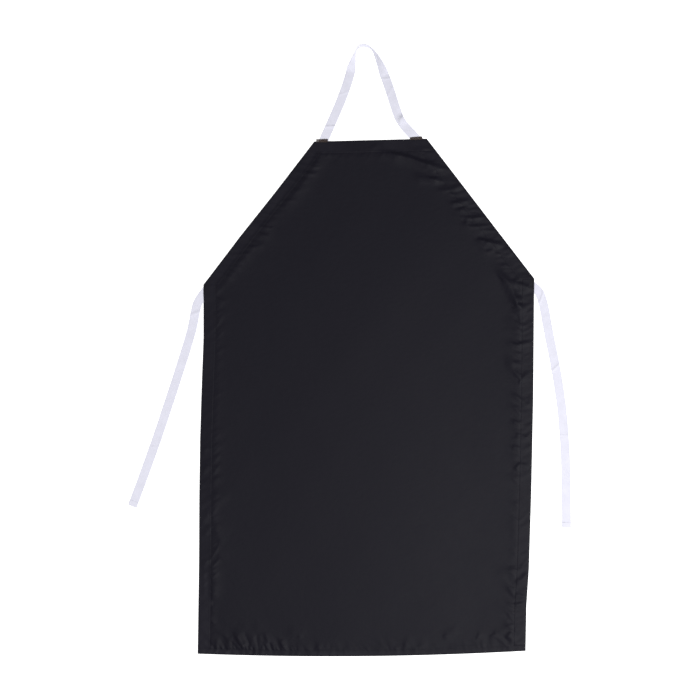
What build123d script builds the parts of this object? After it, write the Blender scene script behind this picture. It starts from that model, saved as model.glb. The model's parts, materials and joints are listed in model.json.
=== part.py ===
"""Bib apron of the artist's smock kind: a one-piece cloth panel with turned hems, a neck strap and two waist ties.

The apron lies on its back, front face up. X runs across it, +Y runs up to the neck strap and +Z stands
out of the front. The origin is the middle of the panel's outline, on the plane that the apron lies on.
The cloth is drawn flat, in its true layers: tape at the bottom, the turned hem on it, then the face cloth.
"""

from build123d import *
import math
import os

os.makedirs("parts", exist_ok=True)

# ---------------------------------------------------------------- driving dimensions, mm
skirt_width = 686.0  # across the skirt, hem edge to hem edge
skirt_length = 775.0  # bottom edge to waist line
bib_height = 292.0  # waist line to top edge
bib_top_width = 229.0  # across the top edge

cloth = 0.3  # one layer of the panel cloth
hem_width = 25.0  # turned hem of the sides, the slants and the top
bottom_hem_width = 12.0  # narrower turned hem of the bottom edge
ramp = 8.0  # the face cloth comes down off a hem within this run
waist_gap = 4.0  # the strip of cloth that bends when the bib folds over

tape_width = 19.0  # twill tape of the strap and ties
tape_thick = 0.6
root_inset = 9.0  # a tie's swing point, inside the side edge
root_drop = 11.5  # and below the waist line
sewn_past = 2.0  # a tie's sewn end reaches this far past the side hem's inner fold
sewn_clear = 0.3  # between a tie's round end and its sewn end
tie_turn = 12.0  # a tie's far end is folded back this much

strap_root = 95.0  # each end of the neck strap, from the middle
strap_stand = 4.0  # the sewn tape shows this far above the top edge
strap_gap = 0.5  # bending strip between the sewn tape and the strap
strap_stations = 10  # steps in which the strap turns from flat to standing on edge

thread_width = 0.6  # sewing thread drawn as one line per seam
thread_height = 0.2
seam_inset = 2.0  # the seam line from the hem's inner fold
tack_length = 3.5  # bar tack, along the tape
tack_height = 0.4

# ---------------------------------------------------------------- routes of the free tapes, mm
# Each list gives the middle of the tape. The strap's points count from the middle of the top edge.
strap_route = [
    (-99.5, -6),
    (-78, 44),
    (-49.5, 113),
    (-33.5, 182),
    (-24, 197),
    (-5.5, 196),
    (9, 180),
    (33, 126),
    (54.5, 60),
    (66, 32),
    (104, -4),
]
# A tie's points count from its own root.
tie_routes = {
    "left": [
        (0, 0),
        (-16, -20),
        (-22, -40),
        (-29, -84),
        (-53, -164),
        (-81.5, -255),
        (-111, -346),
        (-147, -446),
    ],
    "right": [
        (0, 0),
        (17, -7),
        (30.5, -33),
        (42, -96),
        (59.5, -175),
        (74, -260),
        (82, -350),
        (85, -430),
        (86.5, -506),
    ],
}
strap_lift_from = 0.35  # share of the strap's length where it starts to turn on edge
strap_lift_full = 0.445  # where it stands on edge
strap_lower_from = 0.525
strap_lower_full = 0.635  # where it lies flat again

# ---------------------------------------------------------------- sizes that follow
top_y = (skirt_length + bib_height) / 2
bottom_y = -top_y
waist_y = top_y - bib_height
half_skirt = skirt_width / 2
half_top = bib_top_width / 2
slant = (half_skirt - half_top) / bib_height  # widening of the bib per mm down
across_slant = math.hypot(1, slant)  # width measured along X of a 1 mm strip along a slanted edge

hem_z = tape_thick  # underside of the hems, on the tapes
face_z = hem_z + 2 * cloth  # underside of the face cloth over a hem
top_z = face_z + cloth  # upper side of the face cloth over a hem
bib_low_y = waist_y + waist_gap / 2
skirt_high_y = waist_y - waist_gap / 2
hem_seam = hem_width - seam_inset
bottom_seam_y = bottom_y + bottom_hem_width - seam_inset
# The sewn end of a tie starts clear of the round end that swings beside it.
tie_end_inner_x = half_skirt - hem_width - sewn_past
tie_end_length = half_skirt - root_inset - tape_width / 2 - sewn_clear - tie_end_inner_x
sides = (("left", -1), ("right", 1))


def bib_x(y, inset=0.0):
    """Half width of the bib at height y, measured to a line that runs inset inside its slanted edge."""
    return half_top + slant * (top_y - y) - inset * across_slant


def bib_outline(inset, low_y):
    """Corners of the bib, drawn in by inset at the slants and the top, and cut off at low_y."""
    high_y = top_y - inset
    low_x = bib_x(low_y, inset)
    high_x = bib_x(high_y, inset)
    return [(-low_x, low_y), (low_x, low_y), (high_x, high_y), (-high_x, high_y)]


def skirt_outline(inset, high_y):
    """Corners of the skirt, drawn in by inset at the sides and by as much less at the bottom as its hem is."""
    x = half_skirt - inset
    low_y = bottom_y + inset * bottom_hem_width / hem_width
    return [(-x, low_y), (x, low_y), (x, high_y), (-x, high_y)]


def corner_radii(points):
    """The largest bend that fits at each inner point of a tape's route."""
    radii = []
    for before, corner, after in zip(points, points[1:], points[2:]):
        first = Vector(*corner) - Vector(*before)
        second = Vector(*after) - Vector(*corner)
        turn = math.radians(first.get_angle(second))
        radii.append(0.45 * min(first.length, second.length) / math.tan(turn / 2))
    return radii


def smooth(share):
    """0 to 1 with a soft start and a soft end."""
    return share * share * (3 - 2 * share)


# ---------------------------------------------------------------- the face cloth, split at the waist line
with BuildPart() as skirt_panel:
    with BuildSketch(Plane.XY):
        Polygon(*skirt_outline(hem_width + ramp, skirt_high_y), align=None)
    with BuildSketch(Plane.XY.offset(face_z)):
        Polygon(*skirt_outline(hem_width, skirt_high_y), align=None)
    loft(ruled=True)
    with BuildSketch(Plane.XY.offset(face_z)):
        Polygon(*skirt_outline(0, skirt_high_y), align=None)
    extrude(amount=cloth)
    # The hollow above the middle of the skirt leaves one layer of cloth there.
    with BuildSketch(Plane.XY.offset(cloth)):
        Polygon(*skirt_outline(hem_width + ramp, skirt_high_y + 1), align=None)
    with BuildSketch(Plane.XY.offset(top_z)):
        Polygon(*skirt_outline(hem_width, skirt_high_y + 1), align=None)
    loft(ruled=True, mode=Mode.SUBTRACT)
skirt_panel.part.label = "skirt_panel"
export_step(skirt_panel.part, "parts/skirt_panel.step")

with BuildPart() as bib_panel:
    with BuildSketch(Plane.XY):
        Polygon(*bib_outline(hem_width + ramp, bib_low_y), align=None)
    with BuildSketch(Plane.XY.offset(face_z)):
        Polygon(*bib_outline(hem_width, bib_low_y), align=None)
    loft(ruled=True)
    with BuildSketch(Plane.XY.offset(face_z)):
        Polygon(*bib_outline(0, bib_low_y), align=None)
    extrude(amount=cloth)
    # The hollow above the middle of the bib leaves one layer of cloth there.
    with BuildSketch(Plane.XY.offset(cloth)):
        Polygon(*bib_outline(hem_width + ramp, bib_low_y - 1), align=None)
    with BuildSketch(Plane.XY.offset(top_z)):
        Polygon(*bib_outline(hem_width, bib_low_y - 1), align=None)
    loft(ruled=True, mode=Mode.SUBTRACT)
bib_panel.part.label = "bib_panel"
export_step(bib_panel.part, "parts/bib_panel.step")

# ---------------------------------------------------------------- turned hems, two layers behind the face cloth
with BuildPart() as hem_top:
    with BuildSketch(Plane.XY.offset(hem_z)):
        Polygon(*bib_outline(0, top_y - hem_width), align=None)
    extrude(amount=2 * cloth)
hem_top.part.label = "hem_top"
export_step(hem_top.part, "parts/hem_top.step")

with BuildPart() as hem_bottom:
    with BuildSketch(Plane.XY.offset(hem_z)):
        with Locations((0, bottom_y)):
            Rectangle(skirt_width, bottom_hem_width, align=(Align.CENTER, Align.MIN))
    extrude(amount=2 * cloth)
hem_bottom.part.label = "hem_bottom"
export_step(hem_bottom.part, "parts/hem_bottom.step")

for side, sign in sides:
    with BuildPart() as hem_bib:
        with BuildSketch(Plane.XY.offset(hem_z)):
            Polygon(
                (sign * bib_x(bib_low_y), bib_low_y),
                (sign * bib_x(top_y - hem_width), top_y - hem_width),
                (sign * bib_x(top_y - hem_width, hem_width), top_y - hem_width),
                (sign * bib_x(bib_low_y, hem_width), bib_low_y),
                align=None,
            )
        extrude(amount=2 * cloth)
    hem_bib.part.label = f"hem_bib_{side}"
    export_step(hem_bib.part, f"parts/hem_bib_{side}.step")

    side_low_y = bottom_y + bottom_hem_width
    with BuildPart() as hem_side:
        with BuildSketch(Plane.XY.offset(hem_z)):
            with Locations((sign * (half_skirt - hem_width / 2), side_low_y)):
                Rectangle(hem_width, skirt_high_y - side_low_y, align=(Align.CENTER, Align.MIN))
        extrude(amount=2 * cloth)
    hem_side.part.label = f"hem_side_{side}"
    export_step(hem_side.part, f"parts/hem_side_{side}.step")

# ---------------------------------------------------------------- seam threads, on the face of each hem
with BuildPart() as seam_top:
    with BuildSketch(Plane.XY.offset(top_z)):
        with Locations((0, top_y - hem_seam)):
            Rectangle(2 * bib_x(top_y - hem_seam, hem_seam), thread_width)
    extrude(amount=thread_height)
seam_top.part.label = "seam_top"
export_step(seam_top.part, "parts/seam_top.step")

with BuildPart() as seam_bottom:
    with BuildSketch(Plane.XY.offset(top_z)):
        with Locations((0, bottom_seam_y)):
            Rectangle(skirt_width, thread_width)
    extrude(amount=thread_height)
seam_bottom.part.label = "seam_bottom"
export_step(seam_bottom.part, "parts/seam_bottom.step")

for side, sign in sides:
    seam_high_y = top_y - hem_seam - thread_width
    with BuildPart() as seam_bib:
        with BuildSketch(Plane.XY.offset(top_z)):
            Polygon(
                (sign * bib_x(bib_low_y, hem_seam), bib_low_y),
                (sign * bib_x(seam_high_y, hem_seam), seam_high_y),
                (sign * bib_x(seam_high_y, hem_seam + thread_width), seam_high_y),
                (sign * bib_x(bib_low_y, hem_seam + thread_width), bib_low_y),
                align=None,
            )
        extrude(amount=thread_height)
    seam_bib.part.label = f"seam_bib_{side}"
    export_step(seam_bib.part, f"parts/seam_bib_{side}.step")

    seam_low_y = bottom_seam_y + thread_width
    with BuildPart() as seam_side:
        with BuildSketch(Plane.XY.offset(top_z)):
            with Locations((sign * (half_skirt - hem_seam), seam_low_y)):
                Rectangle(thread_width, skirt_high_y - seam_low_y, align=(Align.CENTER, Align.MIN))
        extrude(amount=thread_height)
    seam_side.part.label = f"seam_side_{side}"
    export_step(seam_side.part, f"parts/seam_side_{side}.step")

# ---------------------------------------------------------------- neck strap, one length of tape
strap_low_y = top_y + strap_stand + strap_gap
strap_points = [(x, top_y + y) for x, y in strap_route]
print("neck strap bend radii", [round(r) for r in corner_radii(strap_points)])
with BuildPart() as neck_strap:
    with BuildLine() as strap_line:
        FilletPolyline(*strap_points, radius=corner_radii(strap_points))
    strap_wire = strap_line.wire()
    # Both legs lie flat.
    for first, last in ((0.0, strap_lift_from), (strap_lower_full, 1.0)):
        with BuildSketch(Plane.XY):
            trace(strap_wire.trim(first, last), tape_width)
        extrude(amount=tape_thick)
    # At the bend the tape stands on its outer edge.
    with BuildSketch(Plane.XY.offset(tape_thick / 2)):
        trace(strap_wire.trim(strap_lift_full, strap_lower_from), tape_thick)
    extrude(amount=tape_width)
    # Between them it turns from flat to upright, and back.
    for flat, upright in ((strap_lift_from, strap_lift_full), (strap_lower_full, strap_lower_from)):
        for station in range(strap_stations + 1):
            share = station / strap_stations
            place = flat + (upright - flat) * share
            lean = math.radians(90 * smooth(share))
            along = strap_wire % place
            inwards = Vector(along.Y, -along.X, 0)
            middle = strap_wire @ place + Vector(0, 0, tape_thick / 2 + tape_width / 2 * math.sin(lean))
            across = inwards * math.cos(lean) + Vector(0, 0, math.sin(lean))
            with BuildSketch(Plane(origin=middle, x_dir=across, z_dir=along)):
                Rectangle(tape_width, tape_thick)
        loft(ruled=True)
    strap_share = neck_strap.part.volume / (strap_wire.length * tape_width * tape_thick)
    print("neck strap", round(strap_wire.length), "mm, volume over section times length", round(strap_share, 3))
    # Both ends are cut off square to the apron, just above the sewn tape.
    split(bisect_by=Plane.XZ.offset(-strap_low_y), keep=Keep.BOTTOM)
neck_strap.part.label = "neck_strap"
export_step(neck_strap.part, "parts/neck_strap.step")

for side, sign in sides:
    with BuildPart() as strap_end:
        with BuildSketch(Plane.XY):
            with Locations((sign * strap_root, top_y + strap_stand)):
                Rectangle(tape_width, strap_stand + hem_width, align=(Align.CENTER, Align.MAX))
        extrude(amount=tape_thick)
    strap_end.part.label = f"strap_end_{side}"
    export_step(strap_end.part, f"parts/strap_end_{side}.step")

    with BuildPart() as neck_tack:
        with BuildSketch(Plane.XY.offset(tape_thick)):
            with Locations((sign * strap_root, top_y)):
                Rectangle(tape_width, tack_length, align=(Align.CENTER, Align.MIN))
        extrude(amount=tack_height)
    neck_tack.part.label = f"neck_tack_{side}"
    export_step(neck_tack.part, f"parts/neck_tack_{side}.step")

# ---------------------------------------------------------------- waist ties
for side, sign in sides:
    root_x = sign * (half_skirt - root_inset)
    root_y = waist_y - root_drop
    tie_points = [(root_x + x, root_y + y) for x, y in tie_routes[side]]
    print(f"tie {side} bend radii", [round(r) for r in corner_radii(tie_points)])
    with BuildPart() as tie:
        with BuildLine() as tie_line:
            FilletPolyline(*tie_points, radius=corner_radii(tie_points))
        tie_wire = tie_line.wire()
        with BuildSketch(Plane.XY):
            trace(tie_wire, tape_width)
        extrude(amount=tape_thick)
        tie_share = tie.part.volume / (tie_wire.length * tape_width * tape_thick)
        print(f"tie {side}", round(tie_wire.length), "mm, volume over section times length", round(tie_share, 3))
        # The end under the hem is round about the point that the tie swings on.
        with BuildSketch(Plane.XY):
            with Locations((root_x, root_y)):
                Circle(tape_width / 2)
        extrude(amount=tape_thick)
        # The far end is folded back on itself.
        fold = Plane(origin=tie_wire @ 1 + Vector(0, 0, tape_thick), x_dir=-(tie_wire % 1), z_dir=(0, 0, 1))
        with BuildSketch(fold):
            Rectangle(tie_turn, tape_width, align=(Align.MIN, Align.CENTER))
        extrude(amount=tape_thick)
    tie.part.label = f"tie_{side}"
    export_step(tie.part, f"parts/tie_{side}.step")

    with BuildPart() as tie_stitch:
        with BuildSketch(fold.offset(tape_thick)):
            with Locations((tie_turn - seam_inset, 0)):
                Rectangle(thread_width, tape_width)
        extrude(amount=thread_height)
    tie_stitch.part.label = f"tie_stitch_{side}"
    export_step(tie_stitch.part, f"parts/tie_stitch_{side}.step")

    with BuildPart() as tie_end:
        with BuildSketch(Plane.XY):
            with Locations((sign * (tie_end_inner_x + tie_end_length / 2), root_y)):
                Rectangle(tie_end_length, tape_width)
        extrude(amount=tape_thick)
    tie_end.part.label = f"tie_end_{side}"
    export_step(tie_end.part, f"parts/tie_end_{side}.step")

    with BuildPart() as tie_tack:
        with BuildSketch(Plane.XY.offset(top_z)):
            with Locations((sign * (half_skirt - tack_length), root_y)):
                Rectangle(tack_length, tape_width)
        extrude(amount=thread_height)
    tie_tack.part.label = f"tie_tack_{side}"
    export_step(tie_tack.part, f"parts/tie_tack_{side}.step")
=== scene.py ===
"""The looks of a bib apron that lies flat on its back, front face up.

Plan places are in metres in the apron's own frame: X across it, Y up to the neck strap, Z out of the front.
The flat pattern is square and even on both sides. laid() turns a place on the pattern into the place where
it really lies, because cloth that is put down by hand is always a little askew.
"""

import json
import math

import bpy
import numpy as np
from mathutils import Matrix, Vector
from mathutils.bvhtree import BVHTree


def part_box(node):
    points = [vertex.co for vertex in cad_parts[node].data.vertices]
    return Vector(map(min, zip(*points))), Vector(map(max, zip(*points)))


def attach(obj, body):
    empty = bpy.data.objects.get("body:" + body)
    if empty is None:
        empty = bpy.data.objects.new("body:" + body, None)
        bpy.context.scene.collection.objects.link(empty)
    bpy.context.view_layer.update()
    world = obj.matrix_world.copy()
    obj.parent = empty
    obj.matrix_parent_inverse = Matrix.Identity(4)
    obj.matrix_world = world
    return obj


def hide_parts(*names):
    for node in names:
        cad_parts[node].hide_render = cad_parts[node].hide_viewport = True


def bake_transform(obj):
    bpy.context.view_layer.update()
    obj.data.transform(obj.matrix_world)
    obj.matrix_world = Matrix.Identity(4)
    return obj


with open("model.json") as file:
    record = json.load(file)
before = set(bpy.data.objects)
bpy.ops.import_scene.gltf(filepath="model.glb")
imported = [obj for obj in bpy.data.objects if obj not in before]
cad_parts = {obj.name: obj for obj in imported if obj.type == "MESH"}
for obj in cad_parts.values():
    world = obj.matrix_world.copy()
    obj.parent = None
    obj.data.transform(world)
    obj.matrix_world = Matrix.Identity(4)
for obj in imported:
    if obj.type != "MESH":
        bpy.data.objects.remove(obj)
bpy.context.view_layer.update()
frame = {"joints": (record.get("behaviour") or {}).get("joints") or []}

# ------------ sizes, in metres
MM = 0.001
joints = {joint["name"]: joint for joint in frame["joints"]}
waist_y = joints["bib_fold"]["pos_m"][1]
bottom_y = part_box("skirt_panel")[0].y
top_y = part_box("bib_panel")[1].y
half_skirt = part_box("skirt_panel")[1].x
hem_width = half_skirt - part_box("hem_side_right")[0].x
bottom_hem_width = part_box("hem_bottom")[1].y - bottom_y
bib_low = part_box("hem_bib_right")
bib_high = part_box("hem_top")
slant = (bib_low[1].x - bib_high[1].x) / (bib_high[0].y - bib_low[0].y)
half_top = bib_high[1].x - slant * (top_y - bib_high[0].y)
across_slant = math.hypot(1, slant)
tape_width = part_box("strap_end_left")[1].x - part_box("strap_end_left")[0].x
tape_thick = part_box("strap_end_left")[1].z
tape_middle = tape_thick / 2
root_x, root_y = joints["right_tie_swing"]["pos_m"][:2]
strap_root = -sum(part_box("strap_end_left")[k].x for k in (0, 1)) / 2
tie_turn = 12 * MM
seam_inset = 2 * MM
cloth = 0.3 * MM
hem_cloth = 0.45 * MM
hem_top_z = 1.35 * MM  # the face of the cloth over a hem
flat_z = 0.42 * MM  # the face of the cloth where it is one layer
sides = (("left", -1), ("right", 1))

# ------------ routes of the free tapes
# The strap's points count from the middle of the top edge, and a tie's from its own root.
strap_route = [
    (-0.0995, -0.006), (-0.078, 0.044), (-0.0495, 0.113), (-0.0335, 0.182), (-0.024, 0.197), (-0.0055, 0.196),
    (0.009, 0.180), (0.033, 0.126), (0.0545, 0.060), (0.066, 0.032), (0.104, -0.004),
]
tie_routes = {
    "left": [
        (0, 0), (-0.016, -0.020), (-0.022, -0.040), (-0.029, -0.084),
        (-0.053, -0.164), (-0.0815, -0.255), (-0.111, -0.346), (-0.147, -0.446),
    ],
    "right": [
        (0, 0), (0.017, -0.007), (0.0305, -0.033), (0.042, -0.096), (0.0595, -0.175),
        (0.074, -0.260), (0.082, -0.350), (0.085, -0.430), (0.0865, -0.506),
    ],
}
strap_lift = (0.35, 0.445, 0.525, 0.635)  # shares of the strap: flat, on edge, on edge, flat again


def smooth(low, high, value):
    """0 below low, 1 above high, with a soft change between them."""
    share = np.clip((np.asarray(value, float) - low) / (high - low), 0, 1)
    return share * share * (3 - 2 * share)


def bell(off, spread):
    """1 where off is 0, falling away evenly on both sides."""
    return np.exp(-((off / spread) ** 2))


# ------------ how the flat pattern lies
lean_x = 0.0155  # the top lies further right than the bottom
lean_y = 0.0175  # and the right side further up than the left


def laid(x, y):
    """Where a place on the flat pattern lies."""
    return x + lean_x * y, y + lean_y * x


def half_width(y):
    """Half width of the flat pattern at height y."""
    return np.where(y > waist_y, half_top + slant * (top_y - y), half_skirt)


# How far the panel's two long edges bow to the right of where they would lie straight:
# (height up the panel in metres, bow in mm).
right_edge_bow = [
    (-0.53, -3.4), (-0.44, -3.2), (-0.36, 0.8), (-0.20, 3.2),
    (0.0, 4.2), (0.22, 2.6), (0.40, 3.0), (0.53, 3.4),
]
left_edge_bow = [
    (-0.53, 2.4), (-0.34, 2.2), (-0.20, 0.6), (-0.08, 0.4), (0.03, 2.0),
    (0.13, 4.2), (0.24, 2.4), (0.34, -0.8), (0.43, 0.4), (0.53, -0.8),
]
# The cloth climbs to the right less at the bottom than at the top, its bottom edge hangs in the middle,
# and its top edge is drawn up a little.
climb_low, climb_more, climb_bend = 0.0088, 0.0174, 1.9
corner_rise, middle_drop, top_rise = 8.1, 2.0, 1.6  # mm
bottom_moves_below, top_moves_above = -0.15, 0.3


def cloth_laid(x, y):
    """As laid(), with the bowed edges of the panel itself."""
    share = x / half_width(y)
    right = smooth(0, 1, share)
    left = smooth(0, 1, -share)
    right_bow = np.interp(y, *zip(*right_edge_bow)) * MM
    left_bow = np.interp(y, *zip(*left_edge_bow)) * MM
    climb = climb_low + climb_more * np.clip((y - bottom_y) / (top_y - bottom_y), 0, 1) ** climb_bend
    corner_lift = (corner_rise * share**2 - middle_drop) * MM * smooth(bottom_moves_below, bottom_y, y)
    top_lift = top_rise * MM * smooth(top_moves_above, top_y, y)
    return x + lean_x * y + right * right_bow + left * left_bow, y + climb * x + corner_lift + top_lift


# ------------ camera
view_width = 1.4525  # how much floor the camera takes in, side to side
view_middle = (-0.033, 0.0998)
camera_data = bpy.data.cameras.new("camera")
camera_data.lens = 85
camera_data.sensor_width = 36
camera = bpy.data.objects.new("camera", camera_data)
camera.location = (*view_middle, view_width * camera_data.lens / camera_data.sensor_width)
bpy.context.scene.collection.objects.link(camera)
bpy.context.scene.camera = camera


# ------------ making meshes
def pick(piece):
    """Makes piece the only selected and active object."""
    bpy.ops.object.select_all(action="DESELECT")
    piece.select_set(True)
    bpy.context.view_layer.objects.active = piece


def grid(name, columns, rows, width=1.0, height=1.0):
    """A flat grid of faces about the origin, as wide and high as given."""
    bpy.ops.object.select_all(action="DESELECT")
    bpy.ops.mesh.primitive_grid_add(x_subdivisions=columns, y_subdivisions=rows, size=1)
    piece = bpy.context.object
    piece.name = name
    piece.data.name = name
    piece.scale = (width, height, 1)
    bpy.ops.object.transform_apply(location=False, rotation=False, scale=True)
    return piece


def points_of(piece):
    co = np.empty(len(piece.data.vertices) * 3)
    piece.data.vertices.foreach_get("co", co)
    return co.reshape(-1, 3)


def place_points(piece, points):
    piece.data.vertices.foreach_set("co", np.asarray(points, float).ravel())
    piece.data.update()


def pattern_map(piece, u, v):
    """Gives piece a UV map in metres, from one place per vertex."""
    uv = piece.data.uv_layers.active or piece.data.uv_layers.new(name="UVMap")
    corners = np.empty(len(piece.data.loops), int)
    piece.data.loops.foreach_get("vertex_index", corners)
    uv.data.foreach_set("uv", np.stack([u[corners], v[corners]], axis=1).ravel())


def thicken(piece, thickness, offset=-1.0, rounded=0.0):
    """Turns a single sheet into a closed one, and rounds its rim."""
    pick(piece)
    solid = piece.modifiers.new("thickness", "SOLIDIFY")
    solid.thickness = thickness
    solid.offset = offset
    solid.use_even_offset = False
    bpy.ops.object.modifier_apply(modifier=solid.name)
    if rounded:
        rim = piece.modifiers.new("rim", "BEVEL")
        rim.width = rounded
        rim.segments = 2
        rim.limit_method = "ANGLE"
        rim.angle_limit = math.radians(50)
        bpy.ops.object.modifier_apply(modifier=rim.name)
    bpy.ops.object.shade_smooth()


def finish(piece, material, slot, *nodes):
    """Gives a piece its material and hides the parts of the frame that it stands for; slot is not used."""
    piece.data.materials.clear()
    piece.data.materials.append(material)
    if nodes:
        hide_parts(*nodes)
    return piece


# ------------ materials
class Value:
    """A socket that adds Math nodes when it is used in an expression."""

    def __init__(self, finish, socket):
        self.finish = finish
        self.socket = socket

    def math(self, operation, *others):
        values = [other.socket if isinstance(other, Value) else other for other in others]
        return self.finish.node("ShaderNodeMath", {"operation": operation}, self.socket, *values)

    def __add__(self, other):
        return self.math("ADD", other)

    def __sub__(self, other):
        return self.math("SUBTRACT", other)

    def __mul__(self, other):
        return self.math("MULTIPLY", other)

    def __truediv__(self, other):
        return self.math("DIVIDE", other)

    def __rsub__(self, other):
        return (self * -1) + other

    __radd__ = __add__
    __rmul__ = __mul__

    def sin(self):
        return self.math("SINE")

    def absolute(self):
        return self.math("ABSOLUTE")

    def clamp(self, low, high):
        return self.math("MAXIMUM", low).math("MINIMUM", high)


class Finish:
    """A material under construction."""

    def __init__(self, name, roughness, sheen=0.0, sheen_roughness=0.3, specular=0.5):
        self.material = bpy.data.materials.new(name)
        self.material.use_nodes = True
        self.tree = self.material.node_tree
        self.shader = self.tree.nodes["Principled BSDF"]
        self.shader.inputs["Roughness"].default_value = roughness
        self.shader.inputs["Sheen Weight"].default_value = sheen
        self.shader.inputs["Sheen Roughness"].default_value = sheen_roughness
        self.shader.inputs["Specular IOR Level"].default_value = specular

    def node(self, kind, settings, *values, output=0, **named):
        """Adds a node, sets it up, gives its sockets values or links, and returns one of its outputs."""
        made = self.tree.nodes.new(kind)
        for key, value in settings.items():
            setattr(made, key, value)
        for key, value in list(enumerate(values)) + list(named.items()):
            socket = made.inputs[key.replace("_", " ") if isinstance(key, str) else key]
            if isinstance(value, Value):
                value = value.socket
            if isinstance(value, bpy.types.NodeSocket):
                self.tree.links.new(value, socket)
            elif value is not None:
                socket.default_value = value
        return Value(self, made.outputs[output])

    def place(self, source="UV"):
        """The piece's own places: its UV map, or its Object coordinates."""
        return self.node("ShaderNodeTexCoord", {}, output=source)

    def axes(self, place):
        split = self.node("ShaderNodeSeparateXYZ", {}, place)
        node = split.socket.node
        return tuple(Value(self, socket) for socket in node.outputs)

    def noise(self, place, scale, detail=2.0, roughness=0.5):
        return self.node("ShaderNodeTexNoise", {}, place, Scale=scale, Detail=detail, Roughness=roughness)

    def stretch(self, place, x, y, z=1.0):
        return self.node("ShaderNodeMapping", {}, place, Scale=(x, y, z))

    def blend(self, share, first, second):
        """A colour between first and second."""
        made = self.node("ShaderNodeMix", {"data_type": "RGBA"}, share, output=2)
        node = made.socket.node
        for key, value in ((6, first), (7, second)):
            if isinstance(value, Value):
                self.tree.links.new(value.socket, node.inputs[key])
            else:
                node.inputs[key].default_value = (*value, 1)
        return made

    def bump(self, height, distance, strength=1.0, under=None):
        return self.node("ShaderNodeBump", {}, Strength=strength, Distance=distance, Height=height, Normal=under)

    def done(self, color, roughness=None, normal=None):
        links = {"Base Color": color, "Roughness": roughness, "Normal": normal}
        for key, value in links.items():
            if isinstance(value, Value):
                self.tree.links.new(value.socket, self.shader.inputs[key])
            elif value is not None:
                self.shader.inputs[key].default_value = (*value, 1)
        return self.material


yarns_per_m = 2600
dark_yarn, light_yarn = (0.0038, 0.0034, 0.0072), (0.0054, 0.0048, 0.0092)
# Painted sheen: the lighter colour put on the hems, in patches, for the light that glints off them.
painted_sheen_hem = (0.0104, 0.0097, 0.0149)
hem_wander, hem_blur = 9 * MM, 6 * MM


def black_cloth(name):
    """Close plain weave in black filament yarn, with the soft gloss that such cloth has."""
    made = Finish(name, roughness=0.5, sheen=0.02, sheen_roughness=0.45, specular=0.108)
    place = made.place()
    x, y, _ = made.axes(place)
    warp = (x * (math.pi * yarns_per_m)).sin()
    weft = (y * (math.pi * yarns_per_m)).sin()
    weave = warp * weft
    slubs = made.noise(made.stretch(place, 18, 900), 1.0, 3.0) + made.noise(made.stretch(place, 900, 18), 1.0, 3.0)
    handled = made.noise(place, 38, 4.0, 0.6)
    ripple = made.noise(made.stretch(place, 1, 1.6), 85, 3.0, 0.55)
    tone = (handled * 0.6 + slubs * 0.2).clamp(0, 1)
    woven = made.blend(tone, dark_yarn, light_yarn)
    # The hems are painted a shade lighter, in patches: a painted sheen for the light that glints off them.
    side = (half_skirt - (y - waist_y).clamp(0, 1) * slant) - x.absolute()
    end = (top_y - y).math("MINIMUM", (y - bottom_y) + (hem_width - bottom_hem_width))
    inside = side.math("MINIMUM", end) + (made.noise(place, 70, 2.0) - 0.5) * hem_wander
    hem = ((hem_width - seam_inset - inside) / hem_blur + 0.5).clamp(0, 1)
    sheen_patches = (made.noise(place, 11, 2.0) * 3.2 - 0.9).clamp(0, 1)
    # The painted sheen shows least half way up the sides, and less on the right than on the left.
    sheen_amount = (0.5 - x * 1.1).clamp(0, 1) * ((y + 0.06).absolute() * 4.5 - 0.35).clamp(0, 1)
    color = made.blend(hem * sheen_patches * sheen_amount, woven, painted_sheen_hem)
    rough = 0.43 + handled * 0.10 + slubs * 0.03
    fold = made.bump(ripple, 0.0011, 0.25)
    fine = made.bump(weave * 0.5 + slubs * 0.4, 0.00005, 0.35, under=fold)
    return made.done(color, rough, fine)


rib_pitch, yarn_pitch, shaded_edge_width = 0.00115, 0.00042, 0.0011
# Painted shade and light: the hollows between the ribs take the darker colour, the ribs the lighter one.
tape_shaded_hollows, tape_lit_ribs = (0.54, 0.537, 0.612), (0.72, 0.717, 0.812)


def white_tape(name):
    """Soft twill tape: slanting ribs that turn about at the middle, and a firm edge on both sides; the hollows between
    ribs and yarns and the edges are painted darker, as painted shade.
    """
    made = Finish(name, roughness=0.8, sheen=0.25, sheen_roughness=0.5, specular=0.25)
    place = made.place()
    across, along, _ = made.axes(place)
    from_middle = across.absolute()
    ribs = ((along + from_middle) * (2 * math.pi / rib_pitch)).sin()
    yarns = ((across - along * 0.6) * (2 * math.pi / yarn_pitch)).sin()
    # Painted shade: a band this wide along both edges of the tape is painted darker.
    edge = (from_middle - (tape_width / 2 - shaded_edge_width)).math("GREATER_THAN", 0.0)
    fuzz = made.noise(place, 1400, 2.0)
    # Random lighter and darker mottle over the tape.
    mottle = made.noise(place, 55, 3.0, 0.6)
    weave = ribs * 0.5 + yarns * 0.2 + fuzz * 0.6
    # Painted shade: the tone is darker in the hollows between ribs and yarns and in the band along both edges; the
    # mottle is random.
    tone = (0.62 + ribs * 0.10 + yarns * 0.04 + (mottle - 0.5) * 0.5 - edge * 0.10).clamp(0, 1)
    color = made.blend(tone, tape_shaded_hollows, tape_lit_ribs)
    normal = made.bump(weave, 0.00012, 0.55)
    return made.done(color, None, normal)


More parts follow.
